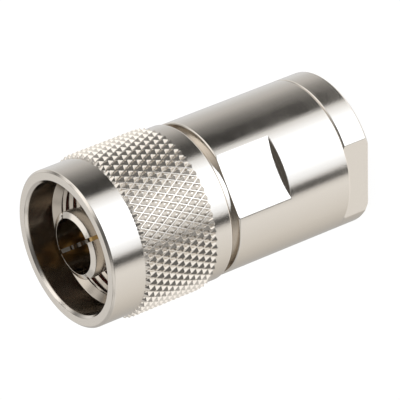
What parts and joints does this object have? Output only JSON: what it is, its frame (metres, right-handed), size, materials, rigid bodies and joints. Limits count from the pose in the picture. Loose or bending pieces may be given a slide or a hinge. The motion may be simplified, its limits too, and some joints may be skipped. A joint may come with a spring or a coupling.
{
  "type": "n type connector",
  "caption": "Coaxial cable plug with a knurled coupling nut, a slotted contact sleeve and a clamp nut with wrench flats, in satin nickel plate.",
  "frame": {"origin": "on the axis, in the plane of the clamp nut's rear face", "axes": "+Z along the axis towards the mating end, +X out of one of the body's two wrench flats"},
  "size_m": [0.0204, 0.0204, 0.0386],
  "materials": {
    "satin_nickel": "satin",
    "gold_plate": "polished",
    "spring_bronze": "satin",
    "white_insulator": "satin",
    "red_silicone": "matte",
    "black_rubber": "matte"
  },
  "bodies": {
    "body": {"body_shell": "satin_nickel", "outer_contact": "satin_nickel", "centre_contact": "gold_plate", "front_insulator": "white_insulator", "rear_insulator": "white_insulator", "front_gasket": "red_silicone", "retaining_ring": "spring_bronze"},
    "coupling_nut": {"coupling_nut": "satin_nickel"},
    "clamp_stack": {"clamp_washer": "satin_nickel", "cable_gasket": "black_rubber", "braid_clamp": "satin_nickel"},
    "clamp_nut": {"clamp_nut": "satin_nickel"}
  },
  "joints": [
    {"name": "coupling_nut_turn", "type": "hinge", "parent": "body", "child": "coupling_nut", "pos_m": [0, 0, 0.0235], "axis": [0, 0, 1], "continuous": true},
    {"name": "clamp_stack_slide", "type": "slide", "parent": "body", "child": "clamp_stack", "axis": [0, 0, -1], "range_m": [0, 0.006]},
    {"name": "clamp_nut_turn", "type": "hinge", "parent": "clamp_stack", "child": "clamp_nut", "pos_m": [0, 0, 0.005], "axis": [0, 0, -1], "range_deg": [0, 2160]}
  ],
  "couplings": [
    {"joint": "clamp_stack_slide", "follows": "clamp_nut_turn", "m_per_rad": 0.00015915}
  ]
}
